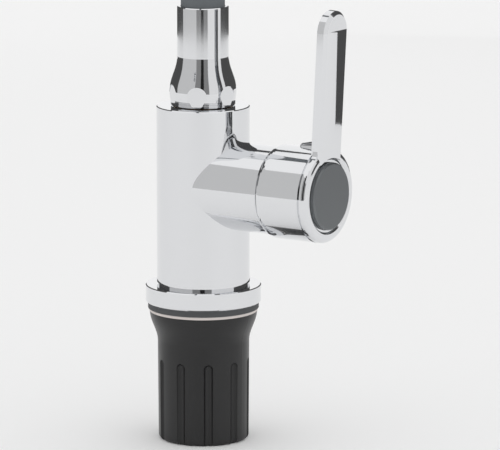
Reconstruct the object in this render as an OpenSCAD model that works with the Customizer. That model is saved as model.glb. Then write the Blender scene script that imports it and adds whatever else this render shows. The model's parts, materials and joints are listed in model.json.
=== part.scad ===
// Side-lever kitchen mixer tap with a self-supporting silicone spout.
// Z = 0 is the top of the worktop, +Z points up, +X runs out along the lever branch,
// and the spout arches over towards -Y. All sizes are in millimetres.

/* [Column and base] */
// Outer diameter of the round column
column_d = 45; // [42:0.5:52]
// Height of the column above the base ring
column_h = 87.4; // [84:0.1:130]
// Distance from the column's top down to the branch axis
branch_drop = 37.7; // [34:0.1:42]
// Height of the shadow groove at the column's foot
foot_groove_h = 1.2; // [0.6:0.1:2]
// Depth of the shadow groove at the column's foot
foot_groove_depth = 1; // [0.5:0.1:1.5]
// Diameter of the base ring
base_ring_d = 56; // [54:0.5:66]
// Height of the base ring
base_ring_h = 8.8; // [6:0.1:14]
// Chamfer on the base ring's lower edge
base_ring_chamfer = 0.8; // [0.3:0.1:1.5]
// Diameter of the gasket under the base ring
foot_gasket_d = 53.8; // [48:0.2:54]
// Thickness of the gasket under the base ring
foot_gasket_h = 2.8; // [1.5:0.1:5]
// Small edge break on turned edges
edge_break = 0.4; // [0.2:0.1:0.8]

/* [Shank and mounting nut] */
// Outer diameter of the threaded shank
shank_d = 33; // [31:0.5:34]
// Wall of the threaded shank
shank_wall = 2.2; // [1.8:0.1:2.6]
// Length of the shank below the worktop
shank_drop = 58; // [50:1:62]
// Length of the shank screwed into the column
shank_grip = 13; // [8:0.5:15]
// Diameter of the slip washer on the nut
washer_d = 52.6; // [46:0.2:56]
// Thickness of the slip washer
washer_h = 1.4; // [0.8:0.1:3]
// Length of the mounting nut
nut_h = 63.5; // [56:0.5:80]
// Diameter of the nut's bell mouth
nut_bell_d = 52.2; // [48:0.2:56]
// Length over which the bell mouth narrows to the body
nut_bell_h = 15; // [10:0.5:20]
// Diameter of the nut's body under the bell mouth
nut_body_d = 44.5; // [42:0.1:47]
// Diameter of the nut's body at its lower end
nut_foot_d = 43.9; // [42:0.1:47]
// Rounding of the nut's lower edge
nut_foot_round = 2; // [1:0.1:3]
// Length of the nut's thread
nut_thread_h = 30; // [20:1:40]
// Wall of the nut below its thread
nut_skirt_wall = 4; // [3.4:0.1:4.4]
// Number of flutes round the nut
flute_count = 10; // [6:1:14]
// Width of each flute
flute_w = 4.8; // [3:0.1:5.6]
// Depth of each flute
flute_depth = 1.7; // [0.8:0.1:2.2]
// Distance from the nut's top to the top of a flute
flute_start = 23; // [18:0.5:40]
// Turn of the first flute from the branch
flute_turn = 21.1; // [0:0.1:36]

/* [Water inlets] */
// Radius of each threaded hose inlet
inlet_r = 4.5; // [4:0.1:5]
// Depth of each threaded hose inlet
inlet_depth = 12; // [9:0.5:14]
// Distance of each inlet from the column's axis
inlet_offset = 7; // [6.5:0.1:8]
// Radius of the drilled waterways
waterway_r = 3.2; // [2.5:0.1:3.4]

/* [Cartridge] */
// Outer diameter of the ceramic cartridge
cartridge_d = 35; // [34:0.5:36]
// Distance from the column's axis to the cartridge seat
seat_offset = 15; // [14.6:0.1:17]
// Thickness of the cartridge base
cartridge_base_t = 4; // [3:0.1:5]
// Thickness of each ceramic disc
disc_t = 3.5; // [3:0.1:4]
// Radius of the fixed ceramic disc
fixed_disc_r = 12.9; // [12:0.1:14]
// Radius of the moving ceramic disc
moving_disc_r = 10.8; // [10:0.1:11]
// Thickness of the disc carrier
carrier_t = 6; // [5:0.1:7]
// Wall of the cartridge casing
casing_wall = 2.3; // [1.8:0.1:2.5]
// Thickness of the turret's flange
turret_flange_t = 4.3; // [3.5:0.1:5]
// Radius of the turret's neck
turret_neck_r = 11.7; // [10.5:0.1:12]
// Distance from the turret's inner face to the spindle pivot
pivot_rise = 6.6; // [6.2:0.1:7.2]
// Distance from the spindle pivot to the ball that drives the discs
ball_arm = 8; // [7.8:0.1:8.4]
// Radius of the spindle's driving ball
ball_r = 3; // [2.5:0.1:3.2]
// Width across the spindle's square
spindle_w = 8; // [7:0.1:8.4]
// Radius of the spindle's pivot pin
pin_r = 1.5; // [1.2:0.1:1.8]
// Widest lift of the lever in degrees
lift_angle = 25; // [15:1:25]
// Radial distance of the ports from the cartridge axis
port_offset = 7.2; // [6.8:0.1:7.6]

/* [Branch] */
// Wall of the branch round the cartridge
branch_wall = 3.4; // [2.8:0.1:5]
// Thickness of the retaining nut's thread
retainer_t = 4.8; // [4:0.1:7]
// Depth of the retaining nut's thread
retainer_thread = 1; // [0.8:0.1:1.4]
// Thickness of the domed cover's shell
dome_wall = 1.2; // [0.8:0.1:1.5]

/* [Handle] */
// Length of the handle's round hub
hub_len = 23.3; // [22:0.1:30]
// How far the hub stands out past the branch
hub_step = 1.4; // [1.2:0.1:3]
// Rounding of the hub's rear edge
hub_round = 3; // [1.5:0.1:4]
// Width of the groove between hub and rim
rim_groove_w = 1; // [0.6:0.1:1.6]
// Depth of the groove between hub and rim
rim_groove_depth = 0.9; // [0.5:0.1:1]
// Thickness of the rim
rim_t = 3.3; // [2.8:0.1:5]
// Rounding of the rim's front edge
rim_round = 2.7; // [1.5:0.1:2.7]
// Width of the lever blade
blade_w = 20; // [14:0.5:24]
// Thickness of the lever blade
blade_t = 5.8; // [4.6:0.1:6]
// Height of the lever's tip above the branch axis
blade_reach = 92.5; // [70:0.5:130]
// Outward lean of the lever blade in degrees
blade_lean = 3; // [0:0.5:6]
// Chamfer along the blade's edges
blade_chamfer = 1.5; // [0.8:0.1:2]
// Fillet where the blade's sides run into the rim
blade_fillet = 4; // [2:0.5:8]
// Radius of the tapered rib behind the blade
rib_r = 4.4; // [3:0.1:5]
// Length of the tapered rib behind the blade
rib_len = 10; // [6:0.5:12]
// Radius of the boss that grips the spindle
boss_r = 7.5; // [7:0.1:7.6]
// Diameter of the handle's cap
cap_d = 32.3; // [26:0.1:33]
// How far the cap's face stands proud of the rim
cap_proud = 1.4; // [0.5:0.1:2.5]
// Thickness of the cap
cap_t = 4.2; // [3:0.1:4.4]
// Bevel round the cap's face
cap_bevel = 0.7; // [0.4:0.1:1]
// Radius of the grub screw
grub_r = 2.5; // [2:0.1:2.5]
// Length of the grub screw
grub_len = 8; // [6:0.5:10]

/* [Spout swivel] */
// Outer radius of the swivel spigot
spigot_r = 10; // [9:0.1:10.2]
// Radius of the spigot's waterway
spigot_bore_r = 5.8; // [4.5:0.1:6]
// Thickness of the spigot's flange
spigot_flange_t = 3.2; // [2.5:0.1:4]
// Radius of the spigot's flange
spigot_flange_r = 12.6; // [11.8:0.1:12.8]
// Length of the swivel bush
bush_h = 9; // [6:0.1:10]
// Thickness of the spigot's threaded retainer
spigot_retainer_h = 4.6; // [3:0.1:5]
// Radius of each O-ring's section
o_ring_r = 1; // [0.8:0.05:1.2]
// Length of the spigot's nose below its flange
spigot_nose_h = 12; // [10:0.5:12]

/* [Spout] */
// Outer diameter of the silicone sleeve
sleeve_d = 21.2; // [19:0.1:22]
// Wall of the silicone sleeve
sleeve_wall = 2; // [1.6:0.1:2.4]
// Wall of the bendable steel core
core_wall = 1.8; // [1.2:0.1:2]
// Wall of the inner water hose
hose_wall = 1.8; // [1.2:0.1:2.2]
// Height of the straight part of the spout above the worktop
arch_start_z = 300; // [240:5:400]
// Radius of the spout's arch at its centre line
arch_r = 100; // [60:5:130]
// Length of the straight part down to the outlet ferrule
drop_len = 43; // [20:1:80]
// Height of the ferrule at the column
ferrule_h = 47.9; // [42:0.1:60]
// Outer diameter of the ferrule's neck
ferrule_neck_d = 24.8; // [24:0.1:26]
// Diameter of the ferrule's bell at its widest
ferrule_bell_d = 32.2; // [31:0.1:36]
// Diameter of the ferrule at its foot
ferrule_foot_d = 31; // [30:0.1:33]
// Height of the ferrule's widest part above its foot
ferrule_bell_z = 6.4; // [5:0.1:9]
// Height of the ferrule's flare above its foot
ferrule_flare_z = 23.6; // [18:0.1:28]
// Number of wrench flats round the ferrule
flat_count = 6; // [4:2:8]
// Diameter of each round wrench flat
flat_d = 10; // [7:0.1:10]
// Distance across opposite wrench flats
flat_across = 30.6; // [29.6:0.1:31]
// Turn of the first wrench flat from the branch
flat_turn = -8; // [-30:1:30]
// Depth of the sleeve's socket in a ferrule
socket_depth = 13; // [8:0.5:16]
// How far the core runs on past the sleeve's ends
core_lead = 4; // [2:0.5:6]
// How far the hose runs on past the core into the outlet
hose_lead = 4; // [2:0.5:5]
// Length of the hose inside the spigot
hose_plug = 8; // [5:0.5:12]
// Length of the spigot's thread in the ferrule
spigot_thread_h = 19; // [14:0.5:22]

/* [Outlet] */
// Length of the outlet ferrule
outlet_h = 42; // [36:0.5:55]
// Diameter of the outlet ferrule at its mouth
outlet_d = 28.8; // [28:0.1:34]
// Radius of the aerator's thread
aerator_r = 12; // [11.5:0.1:12.4]
// Length of the aerator's thread
aerator_thread_h = 9; // [6:0.5:11]
// Height of the aerator's visible rim
aerator_rim_h = 5; // [4:0.1:8]
// Wall of the aerator housing
aerator_wall = 1.5; // [1.2:0.1:2]
// Spacing of the aerator's jets
jet_pitch = 3; // [2.6:0.1:3.6]
// Radius of each jet
jet_r = 0.9; // [0.6:0.1:1]

/* [Clearances] */
// Radial gap of a running fit or a thread
running_gap = 0.05; // [0.02:0.01:0.1]
// Gap between parts that move past each other
moving_gap = 0.3; // [0.3:0.05:0.4]
// Gap of a loose seat between fixed parts
seat_gap = 0.2; // [0.1:0.05:0.3]

/* [Hidden] */
$fn = 96;
// Overshoot of a cutting body past the face that it opens
cut = 1;

// Heights up the column
column_z = foot_gasket_h + base_ring_h;
column_top_z = column_z + column_h;
column_r = column_d / 2;
branch_z = column_top_z - branch_drop;

// Shank and its socket in the column's boss
shank_r = shank_d / 2;
shank_bore_r = shank_r - shank_wall;
boss_foot_z = foot_gasket_h + seat_gap;
socket_top_z = boss_foot_z + shank_grip;
column_boss_r = shank_r + 2.5;

// Mounting nut
nut_top_z = -washer_h;
nut_bore_r = shank_r + 2 * running_gap;
nut_body_r = nut_body_d / 2;
nut_foot_r = nut_foot_d / 2;
nut_bell_r = nut_bell_d / 2;
// Height of the nut's plain lead above its thread
nut_lead_h = 3;

// Cartridge parts along the branch, measured from the column's axis
cartridge_r = cartridge_d / 2;
cartridge_bore_r = cartridge_r + seat_gap;
fixed_disc_x = seat_offset + cartridge_base_t;
moving_disc_x = fixed_disc_x + disc_t + running_gap;
carrier_x = moving_disc_x + disc_t;
turret_x = carrier_x + carrier_t + moving_gap;
shoulder_x = turret_x + turret_flange_t + moving_gap;
casing_inner_r = cartridge_r - casing_wall;
casing_shoulder_t = 1.6;
retainer_x = shoulder_x + casing_shoulder_t;
branch_end_x = retainer_x + retainer_t;
pivot_x = turret_x + pivot_rise;
ball_x = pivot_x - ball_arm;
turret_len = branch_end_x - turret_x + 2.4;
casing_neck_bore_r = turret_neck_r + moving_gap;
casing_neck_r = casing_neck_bore_r + 1.6;
casing_end_x = branch_end_x + 2;
retainer_bore_r = casing_neck_r + seat_gap;
retainer_r = cartridge_bore_r + retainer_thread;
retainer_crown_r = retainer_bore_r + 2.4;
retainer_crown_h = 2.4;

// Branch and the domed cover, a zone of a sphere about the pivot
branch_r = cartridge_bore_r + branch_wall + 0.1;
branch_end_rise = branch_end_x - pivot_x;
dome_r = norm([branch_end_rise, branch_r - 0.7]);
dome_mouth_r = 16;
dome_base_angle = asin(branch_end_rise / dome_r);
dome_mouth_angle = acos(dome_mouth_r / dome_r);

// Handle along the branch
hub_x = branch_end_x + 2 * moving_gap;
hub_r = branch_r + hub_step;
hub_lip_r = branch_r + moving_gap;
hub_bore_r = hub_r - 2.3;
hub_end_x = hub_x + hub_len;
rim_x = hub_end_x + rim_groove_w;
face_x = rim_x + rim_t;
cap_r = cap_d / 2;
cap_face_x = face_x + cap_proud;
cap_seat_x = cap_face_x - cap_t;
hub_front_wall = 3;
hub_floor_x = cap_seat_x - hub_front_wall;
boss_x = pivot_x + 15.2;
spindle_tip_x = cap_seat_x - 1.6;
grub_x = pivot_x + 24;
grub_pillar_r = grub_r + 1.5;
// Distance from the branch axis to the grub screw's outer end
grub_end = spindle_w / 2 + grub_len;
// Depth of the plug that hides the grub screw
grub_plug_t = 2;
blade_root = hub_r - 3.4;
blade_back_x = face_x - blade_t - 0.4;
blade_gap_r = hub_r + 0.6;

// Spout swivel in the column's head
retainer_z = column_top_z - spigot_retainer_h - seat_gap;
bush_z = retainer_z - bush_h;
flange_z = bush_z - running_gap - spigot_flange_t;
nose_z = flange_z - spigot_nose_h;
nose_r = spigot_r - 0.2;
nose_bore_r = nose_r + running_gap;
flange_bore_r = spigot_flange_r + moving_gap;
retainer_hole_r = flange_bore_r + 1.5;
o_ring_z = [nose_z + 3, nose_z + 7.5];

// Spout
ferrule_z = column_top_z + moving_gap;
ferrule_top_z = ferrule_z + ferrule_h;
ferrule_neck_r = ferrule_neck_d / 2;
ferrule_bell_r = ferrule_bell_d / 2;
ferrule_foot_r = ferrule_foot_d / 2;
sleeve_r = sleeve_d / 2;
sleeve_bore_r = sleeve_r - sleeve_wall;
core_r = sleeve_bore_r - running_gap;
core_bore_r = core_r - core_wall;
hose_r = core_bore_r - running_gap;
hose_bore_r = hose_r - hose_wall;
socket_r = sleeve_r + seat_gap;
sleeve_z = ferrule_top_z - socket_depth;
core_z = sleeve_z - core_lead;
spigot_top_z = ferrule_z + spigot_thread_h;
hose_z = spigot_top_z - hose_plug;

// Outlet, hanging from the far end of the arch
outlet_top_z = arch_start_z - drop_len;
outlet_z = outlet_top_z - outlet_h;
outlet_r = outlet_d / 2;
outlet_flare_h = 14;
sleeve_end_z = outlet_top_z - socket_depth;
core_end_z = sleeve_end_z - core_lead;
hose_end_z = core_end_z - hose_lead;
aerator_washer_t = 1.4;
aerator_seat_z = outlet_z + aerator_thread_h + aerator_washer_t;
aerator_foot_z = outlet_z - aerator_rim_h;
aerator_rim_r = outlet_r - 1;
aerator_bore_r = aerator_r - aerator_wall;

// Turns its children so that +Z runs out along the branch and +X points up
module on_branch(x = 0) {
    translate([x, 0, branch_z]) rotate([0, 90, 0]) rotate([0, 0, 180]) children();
}

// A cylinder with a round hole right through it
module tube(outer_r, inner_r, height) {
    difference() {
        cylinder(h = height, r = outer_r);
        translate([0, 0, -cut]) cylinder(h = height + 2 * cut, r = inner_r);
    }
}

// Points of an arc, centre first, angles in degrees
function arc(centre, radius, from, to, steps) = [
    for (i = [0:steps])
        let (a = from + (to - from) * i / steps)
        [centre[0] + radius * cos(a), centre[1] + radius * sin(a)]
];

// Points of a smooth flare from radius r0 at z0 to radius r1 at z1
function flare(r0, z0, r1, z1, steps) = [
    for (i = [0:steps])
        let (t = i / steps)
        [r0 + (r1 - r0) * (1 - cos(180 * t)) / 2, z0 + (z1 - z0) * t]
];

// Follows the spout's centre line with a round solid of one radius
module spout_path(radius, from_z, to_z) {
    translate([0, 0, from_z]) cylinder(h = arch_start_z - from_z, r = radius);
    translate([0, -arch_r, arch_start_z]) rotate([90, 0, 90])
        rotate_extrude(angle = 180) translate([arch_r, 0]) circle(r = radius);
    translate([0, -2 * arch_r, to_z]) cylinder(h = arch_start_z - to_z, r = radius);
}

// Places the three cartridge ports round the branch axis
module at_ports() {
    for (turn = [0, 130, 230])
        rotate([0, 0, turn]) translate([port_offset, 0, 0]) children();
}

// The waterways drilled in the column, from the inlets to the cartridge and on to the spout
module waterways() {
    for (side = [-1, 1]) {
        port_y = side * port_offset * sin(130);
        port_z = branch_z + port_offset * cos(130);
        translate([0, side * inlet_offset, socket_top_z - cut])
            cylinder(h = inlet_depth + cut, r = inlet_r);
        translate([0, side * inlet_offset, socket_top_z])
            cylinder(h = port_z - socket_top_z, r = waterway_r);
        translate([0, port_y, port_z]) rotate([0, 90, 0])
            cylinder(h = seat_offset + cut, r = waterway_r);
        translate([0, side * inlet_offset, port_z]) sphere(r = waterway_r);
    }
    on_branch() translate([port_offset, 0, 0]) cylinder(h = seat_offset + cut, r = waterway_r);
    translate([0, 0, branch_z + port_offset]) cylinder(h = nose_z - branch_z - port_offset, r = waterway_r);
}

// Column, branch and foot boss, cast and turned as one piece
module column_body() {
    color([0.80, 0.81, 0.82])
    difference() {
        union() {
            rotate_extrude() polygon([
                [0, boss_foot_z],
                [column_boss_r, boss_foot_z],
                [column_boss_r, column_z],
                [column_r - foot_groove_depth, column_z],
                [column_r - foot_groove_depth, column_z + foot_groove_h],
                [column_r, column_z + foot_groove_h],
                [column_r, column_top_z - edge_break],
                [column_r - edge_break, column_top_z],
                [0, column_top_z]
            ]);
            on_branch() rotate_extrude() polygon([
                [0, 0],
                [branch_r, 0],
                [branch_r, branch_end_x - edge_break],
                [branch_r - edge_break, branch_end_x],
                [0, branch_end_x]
            ]);
        }
        translate([0, 0, boss_foot_z - cut]) cylinder(h = shank_grip + cut, r = shank_r);
        on_branch(seat_offset) cylinder(h = branch_end_x, r = cartridge_bore_r);
        on_branch(retainer_x - 1) cylinder(h = branch_end_x, r = retainer_r);
        on_branch(seat_offset - 2.5)
            for (side = [-1, 1]) translate([0, side * 13, 0]) cylinder(h = 3, r = 1.5 + seat_gap / 2);
        translate([0, 0, nose_z - seat_gap]) cylinder(h = column_h, r = nose_bore_r);
        translate([0, 0, flange_z - moving_gap]) cylinder(h = column_h, r = flange_bore_r);
        translate([0, 0, retainer_z]) cylinder(h = column_h, r = retainer_hole_r);
        waterways();
    }
}

// Chrome ring that covers the edge of the worktop hole
module base_ring() {
    color([0.80, 0.81, 0.82])
    translate([0, 0, foot_gasket_h]) rotate_extrude() polygon([
        [column_boss_r + seat_gap, 0],
        [base_ring_d / 2 - base_ring_chamfer, 0],
        [base_ring_d / 2, base_ring_chamfer],
        [base_ring_d / 2, base_ring_h - edge_break],
        [base_ring_d / 2 - edge_break, base_ring_h],
        [column_boss_r + seat_gap, base_ring_h]
    ]);
}

// Soft gasket between the base ring and the worktop
module foot_gasket() {
    color([0.25, 0.26, 0.27]) tube(foot_gasket_d / 2, shank_r + seat_gap, foot_gasket_h);
}

// Hollow threaded shank that the hoses pass through
module threaded_shank() {
    color([0.72, 0.60, 0.36])
    translate([0, 0, -shank_drop]) tube(shank_r, shank_bore_r, shank_drop + socket_top_z);
}

// Thin slip washer between the nut and the underside of the worktop
module clamp_washer() {
    color([0.86, 0.82, 0.80])
    translate([0, 0, nut_top_z]) tube(washer_d / 2, shank_r + moving_gap, washer_h);
}

// Moulded hand nut with a bell mouth and upright flutes
module mounting_nut() {
    color([0.05, 0.05, 0.055])
    translate([0, 0, nut_top_z]) difference() {
        rotate_extrude() polygon(concat(
            [[0, 0]],
            flare(nut_bell_r, 0, nut_body_r, -nut_bell_h, 14),
            arc([nut_foot_r - nut_foot_round, nut_foot_round - nut_h], nut_foot_round, 0, -90, 6),
            [[0, -nut_h]]
        ));
        translate([0, 0, -nut_h]) cylinder(h = nut_h + cut, r = nut_bore_r);
        translate([0, 0, -nut_h - cut])
            cylinder(h = nut_h - nut_lead_h - nut_thread_h + cut, r = nut_foot_r - nut_skirt_wall);
        for (i = [0:flute_count - 1])
            rotate([0, 0, flute_turn + 360 * i / flute_count])
                translate([nut_body_r - flute_depth + flute_w / 2, 0, 0]) {
                    translate([0, 0, -nut_h - cut])
                        cylinder(h = nut_h + cut - flute_start - flute_w / 2, r = flute_w / 2);
                    translate([0, 0, -flute_start - flute_w / 2]) sphere(r = flute_w / 2);
                }
    }
}

// Plastic bearing bush that the spigot turns in
module swivel_bush() {
    color([0.90, 0.89, 0.85])
    translate([0, 0, bush_z]) tube(flange_bore_r, spigot_r + running_gap, bush_h);
}

// Threaded ring that holds the bush and spigot down
module spigot_retainer() {
    color([0.72, 0.60, 0.36])
    translate([0, 0, retainer_z]) tube(retainer_hole_r, spigot_r + moving_gap, spigot_retainer_h);
}

// Brass spigot that carries the spout and turns in the column
module swivel_spigot() {
    color([0.72, 0.60, 0.36])
    difference() {
        union() {
            translate([0, 0, nose_z]) cylinder(h = flange_z - nose_z + cut, r = nose_r);
            translate([0, 0, flange_z]) cylinder(h = spigot_flange_t, r = spigot_flange_r);
            translate([0, 0, flange_z]) cylinder(h = spigot_top_z - flange_z, r = spigot_r);
        }
        translate([0, 0, nose_z - cut])
            cylinder(h = spigot_top_z - nose_z + 2 * cut, r = spigot_bore_r);
        translate([0, 0, hose_z]) cylinder(h = spigot_top_z, r = hose_r + running_gap);
        for (z = o_ring_z) translate([0, 0, z - o_ring_r]) difference() {
            cylinder(h = 2 * o_ring_r, r = nose_r + cut);
            translate([0, 0, -cut]) cylinder(h = 2 * o_ring_r + 2 * cut, r = nose_r - 2 * o_ring_r);
        }
    }
}

// Two O-rings in the spigot's grooves
module spigot_o_rings() {
    color([0.06, 0.06, 0.06])
    for (z = o_ring_z) translate([0, 0, z])
        rotate_extrude() translate([nose_r - o_ring_r, 0]) circle(r = o_ring_r, $fn = 32);
}

// Chrome ferrule at the column: a bell with round wrench flats, bored for spigot and sleeve
module spout_ferrule() {
    color([0.80, 0.81, 0.82])
    translate([0, 0, ferrule_z]) difference() {
        rotate_extrude() polygon(concat(
            [[0, 0]],
            [[ferrule_foot_r - edge_break, 0]],
            flare(ferrule_foot_r, edge_break, ferrule_bell_r, ferrule_bell_z, 6),
            flare(ferrule_bell_r, ferrule_bell_z + 0.8, ferrule_neck_r, ferrule_flare_z, 16),
            [
                [ferrule_neck_r, ferrule_h - edge_break],
                [ferrule_neck_r - edge_break, ferrule_h],
                [0, ferrule_h]
            ]
        ));
        for (i = [0:flat_count - 1])
            rotate([0, 0, flat_turn + 360 * i / flat_count])
                translate([flat_across / 2, 0, flat_d / 2 + 0.4]) rotate([0, 90, 0])
                    cylinder(h = ferrule_bell_r, r = flat_d / 2);
        translate([0, 0, -cut]) cylinder(h = spigot_top_z - ferrule_z + cut, r = spigot_r);
        cylinder(h = ferrule_h, r = hose_r + seat_gap);
        translate([0, 0, core_z - ferrule_z]) cylinder(h = ferrule_h, r = core_r + running_gap);
        translate([0, 0, sleeve_z - ferrule_z]) cylinder(h = ferrule_h, r = socket_r);
    }
}

// Soft outer sleeve of the spout
module spout_sleeve() {
    color([0.37, 0.39, 0.41])
    difference() {
        spout_path(sleeve_r, sleeve_z, sleeve_end_z);
        spout_path(sleeve_bore_r, sleeve_z - cut, sleeve_end_z - cut);
    }
}

// Bendable wound steel core that keeps the spout's shape
module spout_core() {
    color([0.55, 0.56, 0.58])
    difference() {
        spout_path(core_r, core_z, core_end_z);
        spout_path(core_bore_r, core_z - cut, core_end_z - cut);
    }
}

// Inner hose that carries the water
module water_hose() {
    color([0.88, 0.88, 0.86])
    difference() {
        spout_path(hose_r, hose_z, hose_end_z);
        spout_path(hose_bore_r, hose_z - cut, hose_end_z - cut);
    }
}

// Chrome ferrule at the outlet, flared down to the aerator
module outlet_ferrule() {
    color([0.80, 0.81, 0.82])
    translate([0, -2 * arch_r, 0]) difference() {
        translate([0, 0, outlet_z]) rotate_extrude() polygon(concat(
            [
                [0, 0],
                [outlet_r - edge_break, 0],
                [outlet_r, edge_break],
                [outlet_r, 6]
            ],
            flare(outlet_r, 7, ferrule_neck_r, 7 + outlet_flare_h, 12),
            [
                [ferrule_neck_r, outlet_h - edge_break],
                [ferrule_neck_r - edge_break, outlet_h],
                [0, outlet_h]
            ]
        ));
        translate([0, 0, outlet_z - cut])
            cylinder(h = aerator_seat_z - outlet_z + cut, r = aerator_r);
        translate([0, 0, outlet_z]) cylinder(h = outlet_h, r = hose_bore_r + 0.6);
        translate([0, 0, hose_end_z]) cylinder(h = outlet_h, r = hose_r + running_gap);
        translate([0, 0, core_end_z]) cylinder(h = outlet_h, r = core_r + running_gap);
        translate([0, 0, sleeve_end_z]) cylinder(h = outlet_h, r = socket_r);
    }
}

// Chrome aerator housing with two key slots in its rim
module aerator_housing() {
    color([0.80, 0.81, 0.82])
    translate([0, -2 * arch_r, 0]) difference() {
        union() {
            translate([0, 0, aerator_foot_z + edge_break])
                cylinder(h = aerator_rim_h - edge_break, r = aerator_rim_r);
            translate([0, 0, aerator_foot_z])
                cylinder(h = edge_break, r1 = aerator_rim_r - edge_break, r2 = aerator_rim_r);
            translate([0, 0, outlet_z - cut]) cylinder(h = aerator_thread_h + cut, r = aerator_r);
        }
        translate([0, 0, aerator_foot_z - cut])
            cylinder(h = aerator_rim_h + aerator_thread_h + 2 * cut, r = aerator_bore_r);
        for (side = [-1, 1])
            translate([side * aerator_rim_r, 0, aerator_foot_z])
                cube([2 * aerator_wall, 3, 3], center = true);
    }
}

// Moulded aerator insert with a grid of jets
module aerator_insert() {
    jet_rows = floor((aerator_bore_r - jet_r - 0.6) / jet_pitch);
    color([0.75, 0.76, 0.77])
    translate([0, -2 * arch_r, aerator_foot_z + 1]) difference() {
        cylinder(h = aerator_thread_h + aerator_rim_h - 2, r = aerator_bore_r);
        translate([0, 0, 3]) cylinder(h = outlet_h, r = aerator_bore_r - 1.2);
        for (ix = [-jet_rows:jet_rows], iy = [-jet_rows:jet_rows])
            if (norm([ix, iy]) * jet_pitch < aerator_bore_r - jet_r - 0.6)
                translate([ix * jet_pitch, iy * jet_pitch, -cut]) cylinder(h = 3 + 2 * cut, r = jet_r);
    }
}

// Rubber washer above the aerator
module aerator_washer() {
    color([0.08, 0.08, 0.08])
    translate([0, -2 * arch_r, aerator_seat_z - aerator_washer_t])
        tube(aerator_r, aerator_bore_r - 2, aerator_washer_t);
}

// Rubber rings that seal the cartridge's ports on its seat
module port_seals() {
    color([0.08, 0.08, 0.08])
    on_branch(seat_offset) at_ports() tube(waterway_r + 1.3, waterway_r, 1.2);
}

// Cartridge base with three ports and two locating pegs
module cartridge_base() {
    color([0.90, 0.90, 0.88])
    on_branch(seat_offset) difference() {
        union() {
            cylinder(h = cartridge_base_t, r = cartridge_r);
            for (side = [-1, 1]) translate([0, side * 13, -2]) cylinder(h = 3, r = 1.5);
        }
        at_ports() translate([0, 0, -cut]) cylinder(h = cartridge_base_t + 2 * cut, r = waterway_r);
        at_ports() translate([0, 0, -cut]) cylinder(h = 1.2 + cut, r = waterway_r + 1.3);
    }
}

// Fixed ceramic disc with its three ports
module fixed_disc() {
    color([0.93, 0.92, 0.90])
    on_branch(fixed_disc_x) difference() {
        cylinder(h = disc_t, r = fixed_disc_r);
        at_ports() translate([0, 0, -cut]) cylinder(h = disc_t + 2 * cut, r = waterway_r);
    }
}

// Moving ceramic disc with the mixing pocket in its face
module moving_disc() {
    color([0.93, 0.92, 0.90])
    on_branch(moving_disc_x) difference() {
        cylinder(h = disc_t, r = moving_disc_r);
        translate([0, 0, -cut]) cylinder(h = 2 + cut, r = 7);
    }
}

// Plastic carrier that the spindle's ball slides across the seat
module disc_carrier() {
    color([0.20, 0.35, 0.60])
    on_branch(carrier_x) difference() {
        cylinder(h = carrier_t, r = moving_disc_r + 0.3);
        translate([0, 0, carrier_t]) cube(
            [2 * (ball_r + moving_gap), 2 * (ball_r + moving_gap), 2 * (carrier_t - 1)],
            center = true
        );
    }
}

// Turret that turns in the casing and holds the spindle's pin
module turret() {
    slot_half = spindle_w / 2 + moving_gap;
    reach_in = pivot_rise + cut;
    reach_out = turret_len - pivot_rise + cut;
    swing_in = reach_in * tan(lift_angle) + slot_half / cos(lift_angle);
    swing_out = reach_out * tan(lift_angle) + slot_half / cos(lift_angle);
    color([0.86, 0.86, 0.84])
    on_branch(turret_x) difference() {
        union() {
            cylinder(h = turret_flange_t, r = casing_inner_r - moving_gap);
            cylinder(h = turret_len, r = turret_neck_r);
        }
        translate([0, slot_half, pivot_rise]) rotate([90, 0, 0]) linear_extrude(2 * slot_half)
            polygon([
                [-slot_half - 0.2, -reach_in],
                [swing_in, -reach_in],
                [slot_half + 0.4, 0],
                [slot_half + 0.2, reach_out],
                [-swing_out, reach_out],
                [-slot_half - 0.4, 0]
            ]);
        translate([0, 0, pivot_rise]) rotate([90, 0, 0])
            cylinder(h = 4 * turret_neck_r, r = pin_r, center = true);
    }
}

// Steel pin that the spindle tilts on
module spindle_pin() {
    color([0.70, 0.71, 0.72])
    on_branch(pivot_x) rotate([90, 0, 0])
        cylinder(h = 2 * turret_neck_r - 1, r = pin_r, center = true);
}

// Spindle: a square bar with a driving ball on its inner end
module spindle() {
    color([0.70, 0.71, 0.72])
    difference() {
        union() {
            on_branch(pivot_x - ball_arm / 2) translate([-spindle_w / 2, -spindle_w / 2, 0])
                cube([spindle_w, spindle_w, spindle_tip_x - pivot_x + ball_arm / 2]);
            on_branch(ball_x) cylinder(h = ball_arm / 2 + cut, r = ball_r - 0.6);
            on_branch(ball_x) sphere(r = ball_r);
        }
        on_branch(pivot_x) rotate([90, 0, 0])
            cylinder(h = 2 * spindle_w, r = pin_r + running_gap, center = true);
    }
}

// Cartridge casing with its shoulder and neck
module cartridge_casing() {
    color([0.93, 0.93, 0.91])
    on_branch() rotate_extrude() polygon([
        [casing_inner_r, fixed_disc_x],
        [cartridge_r, fixed_disc_x],
        [cartridge_r, retainer_x],
        [casing_neck_r, retainer_x],
        [casing_neck_r, casing_end_x],
        [casing_neck_bore_r, casing_end_x],
        [casing_neck_bore_r, shoulder_x],
        [casing_inner_r, shoulder_x]
    ]);
}

// Threaded ring nut that clamps the cartridge in the branch
module retaining_nut() {
    color([0.72, 0.60, 0.36])
    on_branch(retainer_x) difference() {
        union() {
            cylinder(h = retainer_t, r = retainer_r);
            cylinder(h = retainer_t + retainer_crown_h, r = retainer_crown_r);
        }
        translate([0, 0, -cut]) cylinder(h = retainer_t + retainer_crown_h + 2 * cut, r = retainer_bore_r);
        for (turn = [0:60:120]) rotate([0, 0, turn])
            translate([-branch_r, -1.5, retainer_t + 1]) cube([2 * branch_r, 3, retainer_crown_h]);
    }
}

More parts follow.
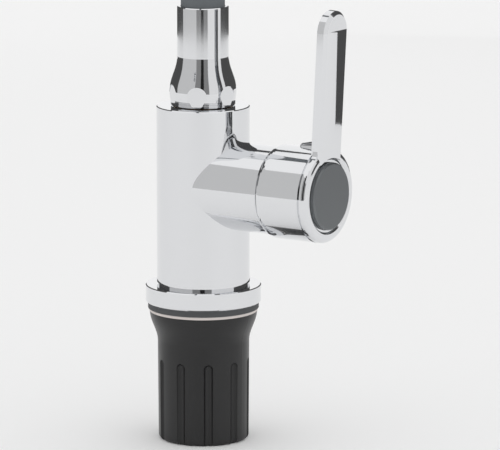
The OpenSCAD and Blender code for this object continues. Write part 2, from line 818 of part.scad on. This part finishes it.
// Chrome dome that closes the branch behind the tilting hub
module cartridge_cover() {
    dome_inner_r = dome_r - dome_wall;
    color([0.80, 0.81, 0.82])
    on_branch(pivot_x) rotate_extrude() polygon(concat(
        [
            [retainer_crown_r + seat_gap, branch_end_rise],
            [dome_r * cos(dome_base_angle), branch_end_rise]
        ],
        arc([0, 0], dome_r, dome_base_angle, dome_mouth_angle, 10),
        arc([0, 0], dome_inner_r, dome_mouth_angle, asin((branch_end_rise + 1.6) / dome_inner_r), 8),
        [[retainer_crown_r + seat_gap, branch_end_rise + 1.6]]
    ));
}

// Outline of the lever blade, root to tip, seen from the front
module blade_outline(inset) {
    half_w = blade_w / 2 - inset;
    tip_centre = blade_reach - blade_w / 2;
    translate([blade_root, -half_w]) square([tip_centre - blade_root, 2 * half_w]);
    translate([tip_centre, 0]) circle(r = half_w, $fn = 64);
}

// Flat plate with both faces chamfered that forms the blade
module blade() {
    translate([0, 0, blade_back_x]) hull() {
        translate([0, 0, blade_chamfer / 2]) linear_extrude(blade_t - 1.5 * blade_chamfer) blade_outline(0);
        linear_extrude(blade_t) blade_outline(blade_chamfer);
    }
}

// One of the two fillets between the rim and the blade's sides
module rim_fillet_outline() {
    half_w = blade_w / 2;
    reach = hub_r + blade_fillet;
    centre_y = half_w + blade_fillet;
    centre_x = sqrt(reach * reach - centre_y * centre_y);
    difference() {
        polygon([
            [blade_root, half_w - 1],
            [centre_x, half_w - 1],
            [centre_x, half_w],
            [centre_x * hub_r / reach, centre_y * hub_r / reach],
            [blade_root, half_w + 1]
        ]);
        translate([centre_x, centre_y]) circle(r = blade_fillet);
    }
}

// Handle casting: hub, rim, lever blade, rib and spindle boss in one piece
module handle() {
    color([0.80, 0.81, 0.82])
    on_branch() difference() {
        union() {
            rotate_extrude() polygon(concat(
                [[hub_lip_r, hub_x]],
                [
                    for (i = [0:6])
                        let (a = 90 * i / 6)
                        [
                            hub_r - (hub_r - hub_lip_r - 0.4) * (1 - sin(a)),
                            hub_x + hub_round * (1 - cos(a))
                        ]
                ],
                [
                    [hub_r, hub_end_x],
                    [hub_r - rim_groove_depth, hub_end_x],
                    [hub_r - rim_groove_depth, rim_x],
                    [hub_r, rim_x]
                ],
                arc([hub_r - rim_round, face_x - rim_round], rim_round, 0, 90, 8),
                [
                    [cap_r + 2.2, face_x],
                    [cap_r + 1.2, face_x - 1],
                    [cap_r + seat_gap, face_x - 1],
                    [cap_r + seat_gap, cap_seat_x],
                    [0, cap_seat_x],
                    [0, hub_floor_x],
                    [hub_bore_r, hub_floor_x],
                    [hub_bore_r, hub_x + 6],
                    [hub_lip_r, hub_x + 4]
                ]
            ));
            difference() {
                rotate([0, -blade_lean, 0]) translate([0, 0, face_x * (1 - cos(blade_lean))]) blade();
                cylinder(h = rim_x, r = blade_gap_r);
                translate([0, 0, cap_seat_x]) cylinder(h = 3 * blade_t, r = cap_r + 2.2);
            }
            translate([0, 0, rim_x]) linear_extrude(rim_t - blade_chamfer / 2) {
                rim_fillet_outline();
                mirror([0, 1]) rim_fillet_outline();
            }
            translate([hub_r, 0, blade_back_x + 2 - rib_len]) {
                cylinder(h = rib_len, r1 = rib_r * 0.45, r2 = rib_r);
                sphere(r = rib_r * 0.45);
            }
            translate([0, 0, boss_x]) cylinder(h = cap_seat_x - boss_x, r = boss_r);
            translate([0, 0, grub_x]) rotate([0, -90, 0]) cylinder(h = hub_bore_r + 0.6, r = grub_pillar_r);
        }
        translate([0, 0, boss_x - cut]) linear_extrude(spindle_tip_x - boss_x + cut + seat_gap)
            square(spindle_w + 2 * running_gap, center = true);
        translate([0, 0, grub_x]) rotate([0, -90, 0]) cylinder(h = 2 * hub_r, r = grub_r);
    }
}

// Bare cap pressed into the handle's face
module handle_cap() {
    color([0.45, 0.47, 0.48])
    on_branch() rotate_extrude() polygon([
        [0, cap_seat_x],
        [cap_r, cap_seat_x],
        [cap_r, cap_face_x - cap_bevel],
        [cap_r - cap_bevel, cap_face_x],
        [0, cap_face_x]
    ]);
}

// Socket screw that clamps the handle on the spindle
module grub_screw() {
    color([0.20, 0.20, 0.21])
    on_branch(grub_x) rotate([0, -90, 0]) translate([0, 0, spindle_w / 2 + running_gap]) difference() {
        cylinder(h = grub_len, r = grub_r);
        translate([0, 0, grub_len - 3]) cylinder(h = 3 + cut, r = 1.4, $fn = 6);
    }
}

// Small plug that hides the grub screw
module grub_plug() {
    color([0.45, 0.47, 0.48])
    on_branch(grub_x) rotate([0, -90, 0]) translate([0, 0, hub_r - 0.4 - grub_plug_t])
        cylinder(h = grub_plug_t, r = grub_r);
}

column_body();
base_ring();
foot_gasket();
threaded_shank();
clamp_washer();
mounting_nut();
swivel_bush();
spigot_retainer();
swivel_spigot();
spigot_o_rings();
spout_ferrule();
spout_sleeve();
spout_core();
water_hose();
outlet_ferrule();
aerator_housing();
aerator_insert();
aerator_washer();
port_seals();
cartridge_base();
fixed_disc();
moving_disc();
disc_carrier();
turret();
spindle_pin();
spindle();
cartridge_casing();
retaining_nut();
cartridge_cover();
handle();
handle_cap();
grub_screw();
grub_plug();
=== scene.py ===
"""Looks of the mixer tap: plain materials, studio and camera."""

import json
import math

import bmesh
import bpy
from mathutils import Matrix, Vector


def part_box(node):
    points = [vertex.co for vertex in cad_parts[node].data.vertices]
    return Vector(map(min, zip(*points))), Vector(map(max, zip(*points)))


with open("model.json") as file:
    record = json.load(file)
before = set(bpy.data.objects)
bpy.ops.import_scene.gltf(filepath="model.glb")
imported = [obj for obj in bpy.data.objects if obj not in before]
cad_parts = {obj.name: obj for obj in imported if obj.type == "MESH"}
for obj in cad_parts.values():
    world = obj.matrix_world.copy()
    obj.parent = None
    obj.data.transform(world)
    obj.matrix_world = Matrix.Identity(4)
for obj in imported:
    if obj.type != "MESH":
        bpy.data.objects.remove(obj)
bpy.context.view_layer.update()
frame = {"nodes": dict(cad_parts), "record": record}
NODES = frame["nodes"]
MM = 0.001
SHARP_ANGLE = math.radians(25)


def srgb(r, g, b):
    """Linear colour from 8-bit display values."""
    def linear(v):
        v = v / 255
        return v / 12.92 if v <= 0.04045 else ((v + 0.055) / 1.055) ** 2.4
    return (linear(r), linear(g), linear(b), 1.0)


# Camera

# Angles in degrees, distance in metres, focal length in millimetres
CAMERA_AZIMUTH = 32.5
CAMERA_PITCH = 10.7
CAMERA_DISTANCE = 2.0
CAMERA_FOCAL = 297.5
AIM_RIGHT = 22.6 * MM
AIM_HEIGHT = 40.2 * MM


def add_camera():
    """Camera at the photograph's angle."""
    a, p = math.radians(CAMERA_AZIMUTH), math.radians(CAMERA_PITCH)
    aim = Vector((AIM_RIGHT * math.cos(a), AIM_RIGHT * math.sin(a), AIM_HEIGHT))
    back = Vector((math.sin(a) * math.cos(p), -math.cos(a) * math.cos(p), math.sin(p)))
    data = bpy.data.cameras.new("camera")
    data.lens = CAMERA_FOCAL
    data.sensor_width = 36.0
    data.clip_start, data.clip_end = 0.1, 60.0
    camera = bpy.data.objects.new("camera", data)
    camera.location = aim + back * CAMERA_DISTANCE
    camera.rotation_mode = "QUATERNION"
    camera.rotation_quaternion = (-back).to_track_quat("-Z", "Y")
    bpy.context.scene.collection.objects.link(camera)
    bpy.context.scene.camera = camera


# Materials

def new_material(name):
    """Material with one Principled shader, returned with its nodes."""
    mat = bpy.data.materials.new(name)
    mat.use_nodes = True
    return mat, mat.node_tree.nodes["Principled BSDF"]


def simple(name, colour, metallic, roughness):
    """Material of one plain colour."""
    mat, shader = new_material(name)
    shader.inputs["Base Color"].default_value = colour
    shader.inputs["Metallic"].default_value = metallic
    shader.inputs["Roughness"].default_value = roughness
    return mat


MATERIALS = {
    "chrome": simple("chrome", srgb(228, 229, 231), 1.0, 0.06),
    "satin_cap": simple("satin_cap", srgb(120, 123, 125), 0.9, 0.4),
    "silicone": simple("silicone", srgb(95, 100, 104), 0.0, 0.6),
    "black_plastic": simple("black_plastic", srgb(22, 22, 23), 0.0, 0.35),
    "foot_rubber": simple("foot_rubber", srgb(70, 72, 74), 0.0, 0.6),
    "washer_plastic": simple("washer_plastic", srgb(214, 206, 202), 0.0, 0.5),
    "brass": simple("brass", srgb(200, 170, 110), 1.0, 0.3),
    "seal_rubber": simple("seal_rubber", srgb(25, 25, 25), 0.0, 0.5),
    "ceramic": simple("ceramic", srgb(240, 238, 232), 0.0, 0.2),
    "white_plastic": simple("white_plastic", srgb(235, 235, 230), 0.0, 0.4),
    "blue_plastic": simple("blue_plastic", srgb(60, 100, 160), 0.0, 0.4),
    "grey_plastic": simple("grey_plastic", srgb(150, 152, 154), 0.0, 0.4),
    "steel": simple("steel", srgb(190, 192, 195), 1.0, 0.3),
    "hose_plastic": simple("hose_plastic", srgb(235, 235, 228), 0.0, 0.4),
}


def dress_cad_nodes():
    """Gives each CAD node its slot's material and smooth shading."""
    for part in frame["record"]["subparts"]:
        obj = NODES[part["node"]]
        obj.data.materials.clear()
        obj.data.materials.append(MATERIALS[part["material_slot"]])
        obj.data.shade_smooth()
        obj.data.set_sharp_from_angle(angle=SHARP_ANGLE)


# Studio

FLOOR_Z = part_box("mounting_nut")[0].z
FLOOR_HALF = 12
# Radius, foot and head of the reflection cards, and the arc of one facet in degrees
CARD_RADIUS = 1.4
CARD_LOW = -0.6
CARD_HIGH = 1.6
CARD_FACET = 4


def card(name, azimuth, width_deg, level):
    """Upright curved card that only shows in reflections. Azimuth is from the camera, to its right."""
    steps = max(2, int(width_deg / CARD_FACET))
    mesh = bpy.data.meshes.new(name)
    bm = bmesh.new()
    rows = []
    for i in range(steps + 1):
        a = math.radians(CAMERA_AZIMUTH + azimuth + width_deg * (i / steps - 0.5))
        direction = Vector((math.sin(a), -math.cos(a), 0))
        foot = direction * CARD_RADIUS
        rows.append([bm.verts.new(foot + Vector((0, 0, z))) for z in (CARD_LOW, CARD_HIGH)])
    for a, b in zip(rows, rows[1:]):
        bm.faces.new((a[0], b[0], b[1], a[1]))
    bm.to_mesh(mesh)
    bm.free()
    mat = bpy.data.materials.new(name)
    mat.use_nodes = True
    nodes = mat.node_tree.nodes
    nodes.clear()
    emission = nodes.new("ShaderNodeEmission")
    emission.inputs["Color"].default_value = (level, level, level, 1)
    out = nodes.new("ShaderNodeOutputMaterial")
    mat.node_tree.links.new(emission.outputs[0], out.inputs["Surface"])
    mesh.materials.append(mat)
    obj = bpy.data.objects.new(name, mesh)
    for flag in ("visible_camera", "visible_diffuse", "visible_shadow", "visible_transmission"):
        setattr(obj, flag, False)
    bpy.context.scene.collection.objects.link(obj)


def add_studio():
    """White world and floor with cards that the chrome reflects."""
    world = bpy.data.worlds.new("studio")
    bpy.context.scene.world = world
    world.use_nodes = True
    background = world.node_tree.nodes["Background"]
    background.inputs["Color"].default_value = (1, 1, 1, 1)
    background.inputs["Strength"].default_value = 1.0

    mesh = bpy.data.meshes.new("floor")
    bm = bmesh.new()
    bmesh.ops.create_grid(bm, x_segments=1, y_segments=1, size=FLOOR_HALF)
    bm.to_mesh(mesh)
    bm.free()
    floor = bpy.data.objects.new("floor", mesh)
    floor.location.z = FLOOR_Z
    mesh.materials.append(simple("floor", (0.9, 0.9, 0.9, 1), 0.0, 0.9))
    bpy.context.scene.collection.objects.link(floor)

    card("left_box", -63, 70, 0.62)
    card("right_box", 54, 64, 0.85)
    card("front_flag", -2, 12, 0.02)
    card("front_grey_left", -18, 20, 0.25)
    card("front_grey_right", 13, 18, 0.25)
    card("back_left", -134, 72, 0.08)
    card("back_right", 131, 90, 0.08)


add_camera()
dress_cad_nodes()
add_studio()

scene = bpy.context.scene
scene.view_settings.view_transform = "Standard"
